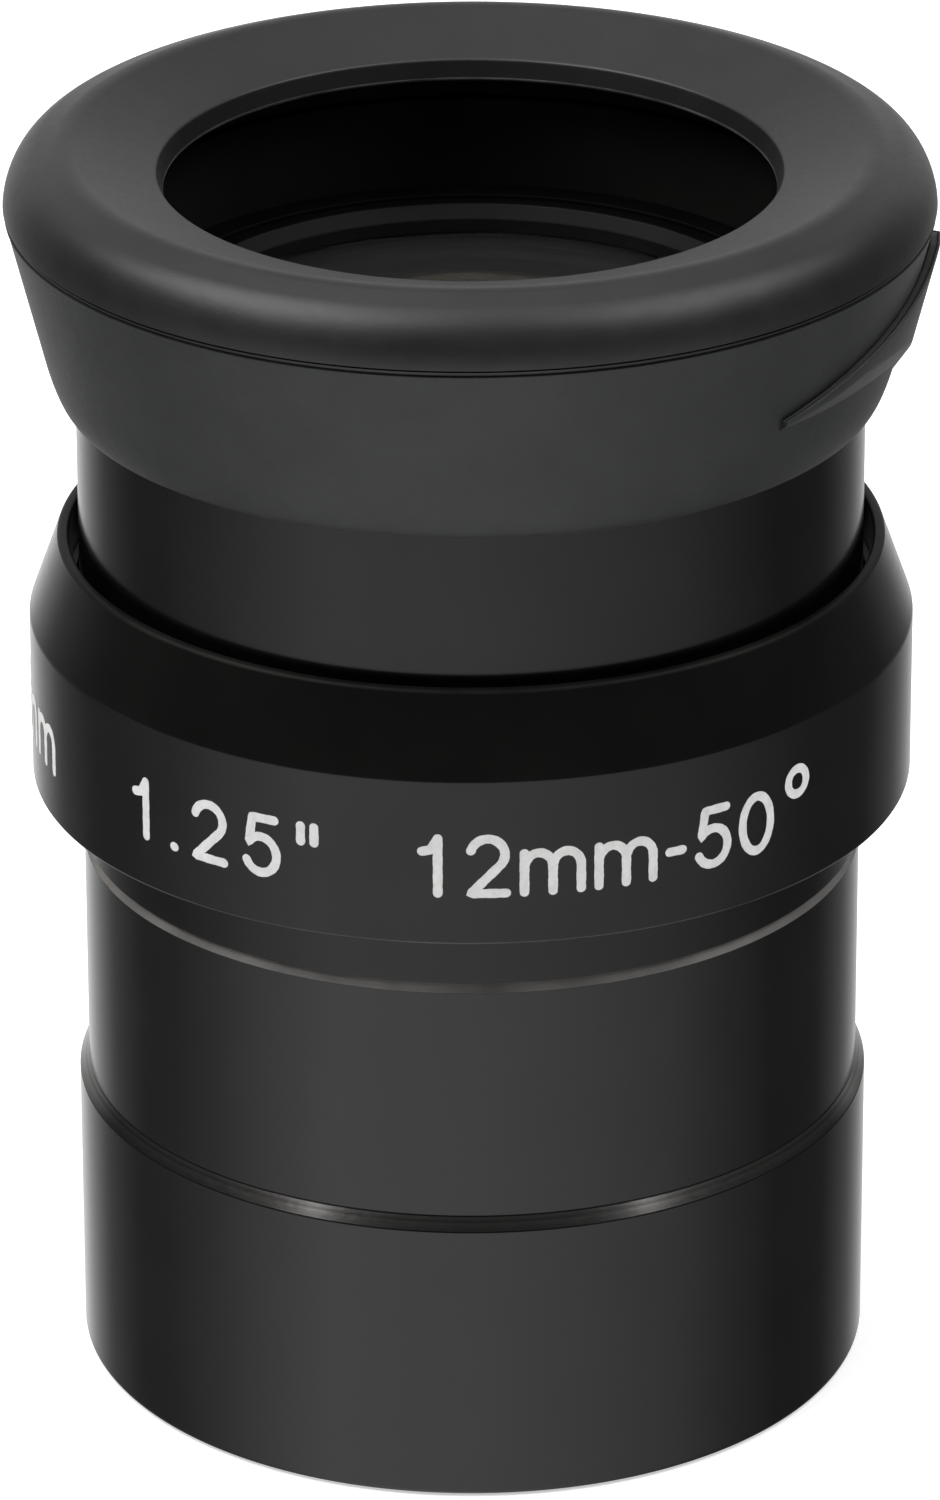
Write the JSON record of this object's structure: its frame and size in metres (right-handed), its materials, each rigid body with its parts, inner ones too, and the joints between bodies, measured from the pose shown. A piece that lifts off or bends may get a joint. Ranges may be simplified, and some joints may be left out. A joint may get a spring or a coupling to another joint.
{
  "type": "telescope eyepiece",
  "caption": "Wide-field telescope eyepiece with a 31.7 mm barrel, undercut nosepiece, bevelled body ring, pull-up sleeve and a turning rubber eyecup with a side wing.",
  "frame": {"origin": "centre of the barrel's open lower end, on the plane the eyepiece stands on", "axes": "+Z along the optical axis towards the eye, -Y the side with the engraved figures, +X to their right"},
  "size_m": [0.0364, 0.0362, 0.051],
  "materials": {
    "gloss_black_anodised": "fine-turned gloss black anodised",
    "matte_black_metal": "matte black anodised",
    "eyecup_rubber": "matte moulded rubber",
    "black_nylon": "satin",
    "coated_glass": "polished, anti-reflection coated",
    "screw_steel": "turned"
  },
  "bodies": {
    "eyepiece_body": {"barrel": "gloss_black_anodised", "main_body": "gloss_black_anodised", "lens_housing": "matte_black_metal", "glide_ring": "black_nylon", "guide_screw_right": "screw_steel", "guide_screw_left": "screw_steel", "lower_lens_cell": "matte_black_metal", "lower_lens_retaining_ring": "matte_black_metal", "lower_lens_front": "coated_glass", "lower_lens_rear": "coated_glass", "field_stop": "matte_black_metal", "doublet_spacer": "matte_black_metal", "doublet_flint": "coated_glass", "doublet_crown": "coated_glass", "middle_lens_spacer": "matte_black_metal", "middle_lens": "coated_glass", "eye_lens_spacer": "matte_black_metal", "eye_lens": "coated_glass", "eye_lens_retaining_ring": "matte_black_metal"},
    "sliding_sleeve": {"sleeve": "gloss_black_anodised"},
    "turning_eyecup": {"rubber_eyecup": "eyecup_rubber"}
  },
  "joints": [
    {"name": "sleeve_slide", "type": "slide", "parent": "eyepiece_body", "child": "sliding_sleeve", "axis": [0, 0, 1], "range_m": [-0.0045, 0]},
    {"name": "eyecup_turn", "type": "hinge", "parent": "sliding_sleeve", "child": "turning_eyecup", "pos_m": [0, 0, 0.045], "axis": [0, 0, 1], "continuous": true}
  ]
}
